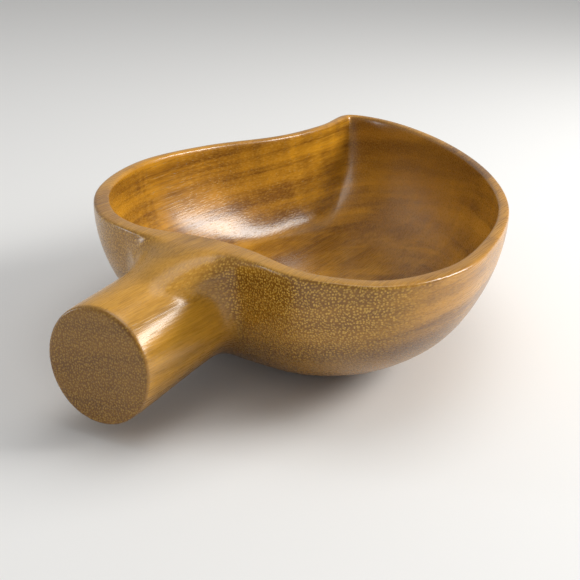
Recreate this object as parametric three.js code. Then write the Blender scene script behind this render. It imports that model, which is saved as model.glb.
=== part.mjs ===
// A leaf-shaped wooden bowl with a round stub handle, carved from one block of wood.
// Millimetres, +Z up. The origin is the middle of the flat foot, on the table.
// The handle points to -Y and the grain runs along Y, from the handle to the leaf's tip.

import * as THREE from "three";

// ---------- Driving dimensions ----------

// Bowl
const bowlWidth = 172; // widest part of the leaf outline
const bowlLength = 236; // front of the leaf outline to its tip
const bowlHeight = 55; // table to the flat top of the rim
const rimWall = 4.5; // width of the flat rim behind the bowl's middle
const frontRimWall = 7; // its width at the front, where it carries the handle
const floorThickness = 9;
const floorHalfWidth = 37; // flat inside floor, an ellipse
const floorHalfLength = 67;
const creaseRounding = 12; // times that the crease inside the tip is smoothed, low down
const creaseSpread = 0.07; // how far round the bowl that smoothing reaches, as a share
const footHalfWidth = 35; // edge where the wall meets the foot's bevel, an ellipse
const footHalfLength = 65;
const footTurn = THREE.MathUtils.degToRad(25); // the foot and floor lean towards the tip
const footBevelRun = 8;
const footBevelRise = 3;

// Handle
const handleRadius = 20;
const handleX = 4.4; // where its axis passes the bowl's middle
const handleLength = 45.2; // rim at the handle's root to the end face, along Y
const handleHeightShare = 0.547; // its axis at that rim, as a share of the bowl's height
const handleDroop = THREE.MathUtils.degToRad(5.8); // its axis falls towards the end

// Where the handle grows out of the wall
const rootHalfWidth = 30; // half the width of wall that the fillet takes in at the rim
const rootPinch = 0.45; // share by which it narrows lower down
const rootPinchSpread = 0.16; // how far round the bowl the narrowing reaches, as a share
const rootFloor = 7; // lowest height that the fillet takes in
const filletRun = 13; // length of the fillet along the handle
const saddleRun = 24; // the same over the saddle, where the rim flows into the handle
const saddleReach = 9; // how far out the saddle stays level with the rim
const saddleOffset = 8; // middle of the saddle, to the right of the handle's axis
const saddleHalfSpan = 34; // from its middle to where the rim's outer edge is whole again
const saddleThickening = 4; // how much wider the rim is at its middle

// ---------- How finely the surfaces are divided ----------

const columns = 90; // round the bowl
const wallRows = 13;
const flatRows = 4; // rings across the floor and the foot
const filletRows = 7;
const gripRows = 4;
const endRows = 3;

// The leaf outline at the rim, counter-clockwise from the handle, as shares of the
// width and the length.
const leaf = [
  [0.023, -0.408], // handle root
  [0.172, -0.417],
  [0.337, -0.447], // front of the right lobe
  [0.488, -0.411],
  [0.563, -0.3], // widest point of the right lobe
  [0.558, -0.157],
  [0.482, 0.058],
  [0.308, 0.276],
  [0.064, 0.459],
  [-0.152, 0.548],
  [-0.268, 0.545], // tip
  [-0.262, 0.42], // hollow flank behind the tip
  [-0.291, 0.275],
  [-0.39, 0.123],
  [-0.433, -0.047], // widest point of the left lobe
  [-0.363, -0.233],
  [-0.233, -0.354],
  [-0.116, -0.398],
].map(([x, y]) => new THREE.Vector3(x * bowlWidth, y * bowlLength, 0));

const tip = 10; // place of the tip in that list

const outline = new THREE.CatmullRomCurve3(leaf, true);
const leafFront = Math.max(...leaf.map((point) => -point.y));

const handleReach = handleLength - leaf[0].y; // end face to the bowl's middle, along Y
const handleEndHeight = bowlHeight * handleHeightShare - handleLength * Math.tan(handleDroop);

// ---------- One mesh, built ring by ring ----------

const vertices = [];
const triangles = [];

function vertex(point) {
  vertices.push(point.clone());
  return vertices.length - 1;
}

// Joins two rings that run counter-clockwise seen from the first one. Cells for which
// skip(j) is true are left open.
function stitch(from, to, skip = () => false) {
  from.forEach((a, j) => {
    if (skip(j)) return;
    const next = (j + 1) % from.length;
    triangles.push([a, to[j], to[next]], [a, to[next], from[next]]);
  });
}

// Closes a ring with a flat face: smaller rings round its middle, then a fan.
// outward is true where the ring comes before the face in the order of stitching.
function closeFlat(ring, middle, rows, outward) {
  const edge = ring.map((i) => vertices[i]);
  let last = ring;
  for (let k = 1; k < rows; k++) {
    const inner = edge.map((p) => vertex(p.clone().lerp(middle, k / rows)));
    if (outward) stitch(last, inner);
    else stitch(inner, last);
    last = inner;
  }
  const centre = vertex(middle);
  last.forEach((a, j) => {
    const b = last[(j + 1) % last.length];
    triangles.push(outward ? [a, centre, b] : [b, centre, a]);
  });
}

// ---------- Outlines at the rim, the foot and the floor ----------

const shares = Array.from({ length: columns }, (_, j) => j / columns);
const tipShare = tip / leaf.length;
const rimPoint = (share) => outline.getPoint(((share % 1) + 1) % 1);

// How far the rim at a point has turned into saddle: 1 at the saddle's middle, 0 past its
// sides and behind the bowl's middle.
function saddleShare(point) {
  if (point.y > 0) return 0;
  const across = (point.x - handleX - saddleOffset) / saddleHalfSpan;
  return Math.cos((THREE.MathUtils.clamp(across, -1, 1) * Math.PI) / 2) ** 2;
}

function innerRimPoint(share) {
  const point = rimPoint(share);
  const along = outline.getTangent(share);
  const inward = new THREE.Vector3(-along.y, along.x, 0);
  const forward = THREE.MathUtils.smoothstep(-point.y, 0, leafFront);
  const wall = THREE.MathUtils.lerp(rimWall, frontRimWall, forward);
  return point.clone().addScaledVector(inward, wall + saddleThickening * saddleShare(point));
}

// The point of a turned ellipse that lies in the same direction as a rim point.
function ellipsePoint(rim, halfWidth, halfLength) {
  const flat = rim.clone().applyAxisAngle(new THREE.Vector3(0, 0, 1), -footTurn);
  const angle = Math.atan2(flat.y / halfLength, flat.x / halfWidth);
  return new THREE.Vector3(halfWidth * Math.cos(angle), halfLength * Math.sin(angle), 0).applyAxisAngle(
    new THREE.Vector3(0, 0, 1),
    footTurn,
  );
}

// A wall's profile is a quarter ellipse: upright at the rim, level at the bottom.
function wallPoint(top, bottom, lowest, turn) {
  const height = lowest + (bowlHeight - lowest) * (1 - Math.sin(turn));
  return bottom.clone().lerp(top, Math.cos(turn)).setZ(height);
}

// Down the outer wall the columns close in on the handle's root, and spread out again
// on either side of it.
function outerWallPoint(share, turn) {
  const offset = share - Math.round(share);
  const closing = rootPinch * Math.sin(turn) ** 2 * Math.exp(-((offset / rootPinchSpread) ** 2));
  const rim = rimPoint(offset * (1 - closing));
  return wallPoint(rim, ellipsePoint(rim, footHalfWidth, footHalfLength), footBevelRise, turn);
}

// ---------- Bowl: floor, inner wall, rim, outer wall, foot ----------

const turns = Array.from({ length: wallRows + 1 }, (_, i) => ((i / wallRows) * Math.PI) / 2);

// Averages the points near the tip with their two neighbours, a number of times.
function rounded(points, times) {
  if (times === 0) return points;
  const next = points.map((point, j) => {
    const sides = points.at(j - 1).clone().add(points[(j + 1) % columns]);
    const reach = Math.exp(-(((shares[j] - tipShare) / creaseSpread) ** 2));
    return point.clone().lerp(sides.divideScalar(2), reach / 2);
  });
  return rounded(next, times - 1);
}

const innerRings = turns.map((turn, i) => {
  const points = shares.map((share) => {
    const bottom = ellipsePoint(rimPoint(share), floorHalfWidth, floorHalfLength);
    return wallPoint(innerRimPoint(share), bottom, floorThickness, turn);
  });
  return rounded(points, Math.min(3 * i, creaseRounding)).map(vertex);
});
closeFlat(innerRings[wallRows], new THREE.Vector3(0, 0, floorThickness), flatRows, false);
for (let i = wallRows; i > 0; i--) stitch(innerRings[i], innerRings[i - 1]);

const outerRings = turns.map((turn) => shares.map((share) => vertex(outerWallPoint(share, turn))));
stitch(innerRings[0], outerRings[0]);

// The handle's root takes in a block of cells of the outer wall, half on each side of
// the first column.
const rimSpacing = (share) => Math.abs(rimPoint(share).x - rimPoint(0).x);
const rootColumns = shares.findIndex((share) => rimSpacing(share) >= rootHalfWidth);
const rootRows = turns.findIndex((turn) => outerWallPoint(0, turn).z <= rootFloor);
const inRoot = (j) => j < rootColumns || j >= columns - rootColumns;
for (let i = 0; i < wallRows; i++) {
  stitch(outerRings[i], outerRings[i + 1], (j) => i < rootRows && inRoot(j));
}

const foot = shares.map((share) =>
  vertex(ellipsePoint(rimPoint(share), footHalfWidth - footBevelRun, footHalfLength - footBevelRun)),
);
stitch(outerRings[wallRows], foot);
closeFlat(foot, new THREE.Vector3(0, 0, 0), flatRows, true);

// ---------- Handle ----------

const handleEnd = new THREE.Vector3(handleX, -handleReach, handleEndHeight);
const handleAxis = new THREE.Vector3(0, Math.cos(handleDroop), Math.sin(handleDroop));
const handleUp = new THREE.Vector3(0, -Math.sin(handleDroop), Math.cos(handleDroop));

// A point on the handle's round surface, a distance in from its end face, which is cut
// square to the table.
function gripPoint(angle, distance) {
  const cut = handleRadius * Math.sin(angle) * Math.tan(handleDroop);
  return handleEnd
    .clone()
    .addScaledVector(handleAxis, distance + cut)
    .addScaledVector(handleUp, handleRadius * Math.sin(angle))
    .add(new THREE.Vector3(handleRadius * Math.cos(angle), 0, 0));
}

// Halves a range until it closes in on where a rising function passes zero.
function solve(low, high, rising) {
  for (let step = 0; step < 40; step++) {
    const middle = (low + high) / 2;
    if (rising(middle) < 0) low = middle;
    else high = middle;
  }
  return (low + high) / 2;
}

// The front of the outer wall at a place across the bowl and a height.
function frontWallY(x, z) {
  const rise = THREE.MathUtils.clamp((z - footBevelRise) / (bowlHeight - footBevelRise), 0, 1);
  const turn = Math.asin(1 - rise);
  const share = solve(-0.15, 0.15, (s) => outerWallPoint(s, turn).x - x);
  return outerWallPoint(share, turn).y;
}

// The edge of the root on the wall: over the top, down the +X side, back underneath.
const c = rootColumns;
const column = (j) => (j + columns) % columns;
const rootEdge = [];
for (let j = -c; j < c; j++) rootEdge.push(outerRings[0][column(j)]);
for (let i = 0; i < rootRows; i++) rootEdge.push(outerRings[i][column(c)]);
for (let j = c; j > -c; j--) rootEdge.push(outerRings[rootRows][column(j)]);
for (let i = rootRows; i > 0; i--) rootEdge.push(outerRings[i][column(-c)]);

// Each point of that edge flows into one line along the handle. The bend is the curve
// between them whose middle control point is where the line would pierce the wall or,
// on the saddle, a point level with the rim.
const flow = rootEdge.map((index) => {
  const start = vertices[index];
  const axisHeight = handleEndHeight + (start.y + handleReach) * Math.tan(handleDroop);
  const angle = Math.atan2(start.z - axisHeight, start.x - handleX);
  const pierce = solve(0, handleReach, (distance) => {
    const point = gripPoint(angle, distance);
    return point.y - frontWallY(point.x, point.z);
  });
  const onRim = start.z > bowlHeight - 0.01 ? saddleShare(start) : 0;
  const run = THREE.MathUtils.lerp(filletRun, saddleRun, onRim);
  const end = gripPoint(angle, pierce - run);
  const level = new THREE.Vector3((start.x + end.x) / 2, start.y - saddleReach, bowlHeight);
  const bend = gripPoint(angle, pierce).lerp(level, onRim);
  return { angle, length: pierce - run, curve: new THREE.QuadraticBezierCurve3(start, bend, end) };
});

let ring = rootEdge;
function addRing(points) {
  const next = points.map(vertex);
  stitch(ring, next);
  ring = next;
}
for (let k = 1; k <= filletRows; k++) addRing(flow.map((line) => line.curve.getPoint(k / filletRows)));
for (let k = 1; k <= gripRows; k++) {
  addRing(flow.map((line) => gripPoint(line.angle, line.length * (1 - k / gripRows))));
}
closeFlat(ring, handleEnd, endRows, true);

// ---------- The part ----------

const geometry = new THREE.BufferGeometry();
geometry.setAttribute("position", new THREE.Float32BufferAttribute(vertices.flatMap((p) => p.toArray()), 3));
geometry.setIndex(triangles.flat());
geometry.computeVertexNormals();

const oiledWood = new THREE.MeshStandardMaterial({ color: 0xa9752b, roughness: 0.35, metalness: 0 });

const carvedBowl = new THREE.Mesh(geometry, oiledWood);
carvedBowl.name = "carved_bowl";

const part = new THREE.Group();
part.add(carvedBowl);

export default part;
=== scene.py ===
"""A leaf-shaped wooden bowl with a stub handle, finished round its CAD frame."""

import math

import bpy
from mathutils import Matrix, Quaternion, Vector


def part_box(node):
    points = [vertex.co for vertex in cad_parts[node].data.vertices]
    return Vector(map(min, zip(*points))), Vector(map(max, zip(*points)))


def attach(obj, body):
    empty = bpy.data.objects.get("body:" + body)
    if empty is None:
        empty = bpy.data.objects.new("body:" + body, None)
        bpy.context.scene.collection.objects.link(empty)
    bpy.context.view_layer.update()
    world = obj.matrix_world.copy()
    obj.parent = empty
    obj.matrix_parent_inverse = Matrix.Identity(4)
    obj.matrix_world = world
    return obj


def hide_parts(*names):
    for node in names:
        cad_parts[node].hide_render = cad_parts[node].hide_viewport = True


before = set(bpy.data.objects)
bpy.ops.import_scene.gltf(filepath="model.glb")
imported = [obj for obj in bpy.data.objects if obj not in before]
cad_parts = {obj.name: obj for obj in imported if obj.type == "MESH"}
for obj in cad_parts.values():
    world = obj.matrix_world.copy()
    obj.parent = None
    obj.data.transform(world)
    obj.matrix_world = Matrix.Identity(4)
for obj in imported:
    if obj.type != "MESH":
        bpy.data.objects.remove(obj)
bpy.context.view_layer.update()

bl_info = {
    "name": "Carved Leaf Bowl",
    "version": (1, 0, 0),
    "blender": (4, 5, 0),
    "location": "View3D > Sidebar > Bowl",
    "description": "Finishes a carved wooden bowl and sets it on a studio floor",
    "category": "Object",
}

BOWL_NODE = "carved_bowl"
MM = 0.001

# Sizes of the wood's figure: across the grain, along it and, where it differs, upwards.
SWAY = (60 * MM, 160 * MM)
BANDS = (70 * MM, 230 * MM, 9 * MM)
LINES = (45 * MM, 160 * MM, 1.5 * MM)
RIBBON = (62 * MM, 20 * MM)
MOTTLE = (5 * MM, 9 * MM)
FIBRES = (0.5 * MM, 11 * MM)
WANDER = (5 * MM, 30 * MM)
STREAK_WIDTH = 1.3 * MM

# How far the grain sways, and which way; how far the pores wander off it.
SWAY_REACH = 14 * MM
SWAY_DIRECTION = (1.0, 0.0, 0.6)
WANDER_REACH = 1.4 * MM

# Places on the Y axis, from none of a feature to all of it.
FIGURE_START = (-70 * MM, -20 * MM)
SPECKS_START = (40 * MM, -30 * MM)
FIBRES_START = (-70 * MM, -105 * MM)
# The paler handle: partly lighter wood, partly painted sheen and bounce light.
PALE_AND_SHEEN_START = (-80 * MM, -110 * MM)
CUT_END_DEPTH = (2 * MM, 1 * MM)

# How much each feature counts in the colour, the gloss and the relief.
BAND_SHARE = 0.8
MOTTLE_SHARE = 0.2
LINE_DARKNESS = 0.2
FIGURE_SWING = (-0.12, 0.13)
SIDE_STREAKS = 0.2
SIDE_FIBRES = (0.1, 0.26)
# Paler handle: partly lighter wood, partly painted sheen and bounce light.
HANDLE_PALE_WOOD_AND_SHEEN = 0.25
END_SPECKS = (0.25, 0.85)
PORE_DARKNESS = 0.4
CUT_END_DARKNESS = 0.5
# Strength of the painted shade on downward-facing surfaces.
UNDERSIDE_PAINTED_SHADE = 0.4
OILED_ROUGHNESS = 0.22
RELIEF_DEPTH = 0.12 * MM

FLOOR_SIDE = 6
FLOOR_PAINT = (0.8, 0.81, 0.82, 1)
FLOOR_ROUGHNESS = 0.6
SKY_TINT = (1.0, 0.98, 0.95, 1)
SKY_STRENGTH = 0.42
LIT_HEIGHT = 30 * MM


# ---------- Shader maths ----------


class Socket:
    """One output socket of a node tree, with the arithmetic that the wood needs."""

    def __init__(self, tree, link):
        self.tree = tree
        self.link = link

    def node(self, kind, settings=None, output=0, **inputs):
        """Adds a node: its settings first, then the values or links of its sockets, each
        given by its name or, as _0, _1 and so on, by its number."""
        made = self.tree.nodes.new(kind)
        for name, value in (settings or {}).items():
            setattr(made, name, value)
        for name, value in inputs.items():
            numbered = name[1:].isdigit()
            place = made.inputs[int(name[1:]) if numbered else name.replace("_", " ")]
            if isinstance(value, Socket):
                self.tree.links.new(value.link, place)
            else:
                place.default_value = value
        return Socket(self.tree, made.outputs[output])

    def math(self, operation, first, second=0.0):
        return self.node("ShaderNodeMath", {"operation": operation}, _0=first, _1=second)

    def absolute(self):
        return self.math("ABSOLUTE", self)

    def __add__(self, other):
        return self.math("ADD", self, other)

    def __sub__(self, other):
        return self.math("SUBTRACT", self, other)

    def __rsub__(self, other):
        return self.math("SUBTRACT", other, self)

    def __mul__(self, other):
        return self.math("MULTIPLY", self, other)

    __radd__ = __add__
    __rmul__ = __mul__

    def between(self, low, high, start=0.0, end=1.0):
        """This value, remapped smoothly from low..high to start..end."""
        return self.node(
            "ShaderNodeMapRange",
            {"interpolation_type": "SMOOTHSTEP"},
            _0=self, _1=low, _2=high, _3=start, _4=end,
        )

    def mixed(self, first, second):
        """A colour from first, where this value is 0, to second, where it is 1."""
        return self.node(
            "ShaderNodeMix", {"data_type": "RGBA"}, output=2, _0=self, _6=first, _7=second
        )

    def part(self, axis):
        return self.node("ShaderNodeSeparateXYZ", output="XYZ".index(axis), _0=self)


def stretched(point, across, along, upward=None):
    """Object coordinates counted in cells: across the grain in X and Z, along it in Y."""
    scale = (1 / across, 1 / along, 1 / (upward or across))
    return point.node("ShaderNodeVectorMath", {"operation": "MULTIPLY"}, _0=point, _1=scale)


def noise(point, detail=2.0, roughness=0.5, distortion=0.0):
    return point.node(
        "ShaderNodeTexNoise",
        Vector=point, Scale=1.0, Detail=detail, Roughness=roughness, Distortion=distortion,
    )


def turned(point, axis, angle):
    return point.node("ShaderNodeVectorRotate", {"rotation_type": axis}, _0=point, _3=angle)


def linear(picked):
    """A picked colour's display values as the linear ones that shaders take."""
    values = (c / 12.92 if c <= 0.04045 else ((c + 0.055) / 1.055) ** 2.4 for c in picked)
    return (*values, 1.0)


def swayed(place):
    """Object coordinates with the slow drift of the grain added."""
    amount = (noise(stretched(place, *SWAY), detail=1.0) - 0.5) * SWAY_REACH
    scale = {"operation": "SCALE"}
    drift = place.node("ShaderNodeVectorMath", scale, _0=SWAY_DIRECTION, _3=amount)
    return place.node("ShaderNodeVectorMath", {"operation": "ADD"}, _0=place, _1=drift)


def pore_cells(place, grain, spacing):
    """Pores that run the whole way along the grain: specks on the end grain, streaks beside
    it. Gives the distance to the nearest one, in cells, and a random number for each."""
    wander = noise(stretched(place, *WANDER), detail=1.0) * (WANDER_REACH / spacing)
    across = grain.part("X") * (1 / spacing) + wander
    upward = grain.part("Z") * (1 / spacing) + wander
    cells = place.node("ShaderNodeCombineXYZ", _0=across, _1=upward)
    flat = {"voronoi_dimensions": "2D"}
    inputs = {"Vector": cells, "Scale": 1.0, "Randomness": 0.85}
    reach = place.node("ShaderNodeTexVoronoi", flat, output="Distance", **inputs)
    lot = place.node("ShaderNodeTexVoronoi", flat, output="Color", **inputs).part("X")
    return reach, lot


def make_wood(finish):
    """One solid piece of oiled hardwood, with its grain along Y."""
    material = bpy.data.materials.new("oiled_hardwood")
    material.use_nodes = True
    tree = material.node_tree
    tree.nodes.clear()
    start = Socket(tree, None)

    place = start.node("ShaderNodeTexCoord", output="Object")
    along = place.part("Y")
    grain = swayed(place)
    reach, lot = pore_cells(place, grain, finish.pore_spacing)

    facing = start.node("ShaderNodeTexCoord", output="Normal")
    end_grain = facing.part("Y").absolute().between(0.3, 0.9)
    # Downward-facing surfaces, for painted shade under the bowl and the handle.
    painted_underside_shade = facing.part("Z").between(-0.25, -0.75)
    end_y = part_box(BOWL_NODE)[0].y
    cut_end = along.between(*(end_y + depth for depth in CUT_END_DEPTH))

    # Growth layers, nearly level in the block, and the ribbon figure that crosses the grain.
    layers = turned(grain, "Y_AXIS", finish.layer_tilt)
    bands = noise(stretched(layers, *BANDS), detail=2.5, roughness=0.55)
    lines = noise(stretched(layers, *LINES), roughness=0.6)
    slant = turned(place, "Z_AXIS", finish.ribbon_slant)
    ribbon = noise(stretched(slant, *RIBBON), distortion=1.1)
    mottle = noise(stretched(grain, *MOTTLE), detail=3.0, roughness=0.6)
    fibres = noise(stretched(grain, *FIBRES), roughness=0.6)

    # A pale halo round each pore, broken up along the grain, and the dark pore inside it.
    streak_cells = stretched(grain, STREAK_WIDTH, finish.pore_length)
    broken = noise(streak_cells, roughness=0.6).between(0.36, 0.6)
    halo = reach.between(0.44, 0.2) * lot.between(0.0, 0.6, 0.6, 1.0)
    pore = reach.between(0.12, 0.05) * lot.between(0.5, 0.8)

    # Wood seen along the grain: bands, dark lines, ribbon, and fibres towards the handle.
    shade = bands * BAND_SHARE + mottle * MOTTLE_SHARE
    figure = ribbon.between(0.38, 0.62, *FIGURE_SWING) * along.between(*FIGURE_START)
    dark_line = lines.between(0.47, 0.4) * LINE_DARKNESS
    side_shade = shade.between(0.3, 0.7) + figure - dark_line
    side = side_shade.mixed(linear(finish.side_dark), linear(finish.side_light))
    fibrous = along.between(*FIBRES_START, *SIDE_FIBRES)
    streaks = halo * broken * SIDE_STREAKS + fibres.between(0.48, 0.68) * fibrous
    side = streaks.mixed(side, linear(finish.streak_and_sheen))
    dark_fibres = fibres.between(0.42, 0.3) * fibrous
    side = dark_fibres.mixed(side, linear(finish.pore))
    # Paler towards the handle: partly lighter wood, partly painted sheen and bounce light.
    pale = along.between(*PALE_AND_SHEEN_START) * HANDLE_PALE_WOOD_AND_SHEEN
    side = pale.mixed(side, linear(finish.streak_and_sheen))

    # Wood cut across the grain: quieter bands, and specks that fade towards the leaf's tip.
    end = shade.between(0.32, 0.68).mixed(linear(finish.end_dark), linear(finish.end_light))
    specks = halo * broken.between(0, 1, 0.6, 1.0) * along.between(*SPECKS_START, *END_SPECKS)
    end = specks.mixed(end, linear(finish.speck))

    colour = end_grain.mixed(side, end)
    colour = (pore * PORE_DARKNESS).mixed(colour, linear(finish.pore))
    colour = (cut_end * CUT_END_DARKNESS).mixed(colour, linear(finish.cut_end))
    # Painted shade: downward-facing surfaces darkened towards the pore colour.
    colour = (painted_underside_shade * UNDERSIDE_PAINTED_SHADE).mixed(colour, linear(finish.pore))

    roughness = OILED_ROUGHNESS + fibres * 0.12 + pore * 0.15
    relief = fibres * 0.5 + halo * 0.4 - pore * 0.8
    bump = start.node("ShaderNodeBump", Strength=0.35, Distance=RELIEF_DEPTH, Height=relief)

    shader = start.node(
        "ShaderNodeBsdfPrincipled",
        Base_Color=colour, Roughness=roughness, Normal=bump,
        Specular_IOR_Level=0.55, Coat_Weight=0.15, Coat_Roughness=0.2,
    )
    output = tree.nodes.new("ShaderNodeOutputMaterial")
    tree.links.new(shader.link, output.inputs[0])
    return material


# ---------- Settings ----------


def length(name, description, default):
    return bpy.props.FloatProperty(
        name=name, description=description, default=default, unit="LENGTH"
    )


def angle(name, description, degrees):
    return bpy.props.FloatProperty(
        name=name, description=description, default=math.radians(degrees), subtype="ANGLE"
    )


def power(name, description, default):
    return bpy.props.FloatProperty(
        name=name, description=description, default=default, unit="POWER"
    )


def colour(name, description, *default):
    """A colour setting, from red, green and blue out of 255."""
    return bpy.props.FloatVectorProperty(
        name=name, description=description, default=tuple(v / 255 for v in default),
        subtype="COLOR_GAMMA", size=3, min=0, max=1,
    )


class BowlShape(bpy.types.PropertyGroup):
    """How the carved edges are eased."""

    edge_round: length("Edge round", "How far each sharp edge is rounded over", 1.3 * MM)
    sharp_angle: angle("Sharp angle", "Edges sharper than this are rounded over", 52)
    smooth_levels: bpy.props.IntProperty(
        name="Smooth levels", description="Times that the surface is subdivided",
        default=2, min=0, max=3,
    )


class WoodFinish(bpy.types.PropertyGroup):
    """Colours and pores of the oiled wood."""

    side_light: colour("Side grain, light", "Lightest wood along the grain", 194, 136, 26)
    side_dark: colour("Side grain, dark", "Darkest wood along the grain", 118, 74, 8)
    end_light: colour("End grain, light", "Lightest ground on the end grain", 170, 118, 28)
    end_dark: colour("End grain, dark", "Darkest ground on the end grain", 126, 82, 14)
    # The streak colour also paints the handle paler, partly as painted sheen and bounce light.
    streak_and_sheen: colour("Streak", "Pale streaks along the grain", 226, 172, 64)
    speck: colour("Speck", "Pale specks on the end grain", 230, 182, 80)
    # The pore colour is also the colour of the painted shade on downward faces.
    pore: colour("Pore", "Inside of the open pores", 60, 32, 8)
    cut_end: colour("Cut end", "Oil-dark end face of the handle", 106, 68, 8)
    layer_tilt: angle("Layer tilt", "Lean of the growth layers", 12)
    ribbon_slant: angle("Ribbon slant", "Turn of the ribbon figure", -35)
    pore_spacing: length("Pore spacing", "Distance between pores across the grain", 0.92 * MM)
    pore_length: length("Pore length", "Length of a pore streak along the grain", 16 * MM)


class StudioSetup(bpy.types.PropertyGroup):
    """Camera and lights."""

    aim: bpy.props.FloatVectorProperty(
        name="Aim", description="Point that the camera looks at",
        default=(26.6 * MM, -57.2 * MM, 30 * MM), unit="LENGTH",
    )
    distance: length("Distance", "Camera to its aim", 425.5 * MM)
    azimuth: angle("Azimuth", "Camera's turn to the right of the handle", 29.17)
    elevation: angle("Elevation", "Camera's height as an angle", 20.15)
    roll: angle("Roll", "Camera's lean", 1.48)
    lens: bpy.props.FloatProperty(
        name="Lens", description="Focal length in millimetres", default=72.5
    )
    key_power: power("Key power", "Window at the back right", 8.6)
    top_power: power("Top power", "Soft light overhead", 4.5)
    fill_power: power("Fill power", "Small window at the left", 1.0)


# ---------- The bowl and its stage ----------


def only(piece):
    """Selects one object and makes it active."""
    bpy.ops.object.select_all(action="DESELECT")
    piece.select_set(True)
    bpy.context.view_layer.objects.active = piece


def direction(azimuth, elevation):
    """Unit vector towards a place round the bowl: azimuth 0 is in front of the handle."""
    return Vector((
        math.sin(azimuth) * math.cos(elevation),
        -math.cos(azimuth) * math.cos(elevation),
        math.sin(elevation),
    ))


class BOWL_OT_carved_bowl(bpy.types.Operator):
    """Carve the bowl and its handle, ease the edges and oil the wood"""

    bl_idname = "bowl.carved_bowl"
    bl_label = "Carved bowl"

    def execute(self, context):
        shape = context.scene.bowl_shape
        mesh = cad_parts[BOWL_NODE].data.copy()
        piece = bpy.data.objects.new("leaf_bowl", mesh)
        context.scene.collection.objects.link(piece)
        only(piece)

        bpy.ops.object.mode_set(mode="EDIT")
        bpy.ops.mesh.select_mode(type="EDGE")
        bpy.ops.mesh.select_all(action="SELECT")
        bpy.ops.mesh.remove_doubles(threshold=0.01 * MM)
        bpy.ops.mesh.tris_convert_to_quads(face_threshold=math.pi, shape_threshold=math.pi)
        bpy.ops.mesh.select_all(action="DESELECT")
        bpy.ops.mesh.edges_select_sharp(sharpness=shape.sharp_angle)
        bpy.ops.mesh.bevel(offset=shape.edge_round, segments=2, profile=0.5, clamp_overlap=True)
        bpy.ops.object.mode_set(mode="OBJECT")

        smooth = piece.modifiers.new("smooth", "SUBSURF")
        smooth.levels = smooth.render_levels = shape.smooth_levels
        bpy.ops.object.modifier_apply(modifier=smooth.name)
        bpy.ops.object.shade_smooth()

        piece.data.materials.clear()
        piece.data.materials.append(make_wood(context.scene.bowl_wood))
        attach(piece, "root")
        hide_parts(BOWL_NODE)
        return {"FINISHED"}


class BOWL_OT_studio(bpy.types.Operator):
    """Set out the pale floor, the soft lights and the camera"""

    bl_idname = "bowl.studio"
    bl_label = "Studio"

    def execute(self, context):
        setup = context.scene.bowl_studio
        self.lay_floor()
        self.hang_lights(setup)
        self.place_camera(setup)
        return {"FINISHED"}

    def lay_floor(self):
        bpy.ops.mesh.primitive_plane_add(size=FLOOR_SIDE)
        floor = bpy.context.object
        floor.name = "floor"
        paint = bpy.data.materials.new("pale_floor")
        paint.use_nodes = True
        shader = paint.node_tree.nodes["Principled BSDF"]
        shader.inputs["Base Color"].default_value = FLOOR_PAINT
        shader.inputs["Roughness"].default_value = FLOOR_ROUGHNESS
        floor.data.materials.append(paint)

    def hang_lights(self, setup):
        world = bpy.data.worlds.new("studio")
        bpy.context.scene.world = world
        world.use_nodes = True
        sky = world.node_tree.nodes["Background"]
        sky.inputs["Color"].default_value = SKY_TINT
        sky.inputs["Strength"].default_value = SKY_STRENGTH

        self.hang_window(
            setup.key_power, azimuth=124, elevation=28, distance=0.9,
            sides=(0.5, 0.3), tint=(1.0, 0.97, 0.92),
        )
        self.hang_window(
            setup.fill_power, azimuth=-62, elevation=9, distance=1.0,
            sides=(0.1, 0.18), tint=(0.86, 0.93, 1.0),
        )
        self.hang_window(
            setup.top_power, azimuth=150, elevation=82, distance=1.2,
            sides=(0.9, 0.9), tint=(1.0, 0.99, 0.97),
        )

    def hang_window(self, energy, azimuth, elevation, distance, sides, tint):
        """A soft rectangular light that faces the bowl. Its angles are in degrees."""
        toward = direction(math.radians(azimuth), math.radians(elevation))
        lit = Vector((0, 0, LIT_HEIGHT))
        bpy.ops.object.light_add(type="AREA", location=lit + toward * distance)
        window = bpy.context.object
        window.rotation_euler = toward.to_track_quat("Z", "Y").to_euler()
        window.data.energy = energy
        window.data.shape = "RECTANGLE"
        window.data.size, window.data.size_y = sides
        window.data.color = tint

    def place_camera(self, setup):
        back = direction(setup.azimuth, setup.elevation)
        turn = back.to_track_quat("Z", "Y") @ Quaternion((0, 0, 1), setup.roll)
        spot = Vector(setup.aim) + back * setup.distance
        bpy.ops.object.camera_add(location=spot, rotation=turn.to_euler())
        camera = bpy.context.object
        camera.data.lens = setup.lens
        camera.data.clip_start = 10 * MM
        bpy.context.scene.camera = camera
        bpy.context.scene.view_settings.view_transform = "Standard"


class BOWL_PT_panel(bpy.types.Panel):
    """Lists the bowl's steps and settings"""

    bl_label = "Carved Leaf Bowl"
    bl_idname = "BOWL_PT_panel"
    bl_space_type = "VIEW_3D"
    bl_region_type = "UI"
    bl_category = "Bowl"

    def draw(self, context):
        for step in STEPS:
            self.layout.operator(step.bl_idname)
        for group, name in GROUPS:
            box = self.layout.box()
            for key in group.__annotations__:
                box.prop(getattr(context.scene, name), key)


GROUPS = ((BowlShape, "bowl_shape"), (WoodFinish, "bowl_wood"), (StudioSetup, "bowl_studio"))
STEPS = (BOWL_OT_carved_bowl, BOWL_OT_studio)


def register():
    for group, name in GROUPS:
        bpy.utils.register_class(group)
        setattr(bpy.types.Scene, name, bpy.props.PointerProperty(type=group))
    for kind in (*STEPS, BOWL_PT_panel):
        bpy.utils.register_class(kind)


def unregister():
    for kind in (BOWL_PT_panel, *reversed(STEPS)):
        bpy.utils.unregister_class(kind)
    for group, name in reversed(GROUPS):
        delattr(bpy.types.Scene, name)
        bpy.utils.unregister_class(group)


def main():
    register()
    bpy.ops.bowl.carved_bowl()
    bpy.ops.bowl.studio()


if __name__ == "__main__":
    main()
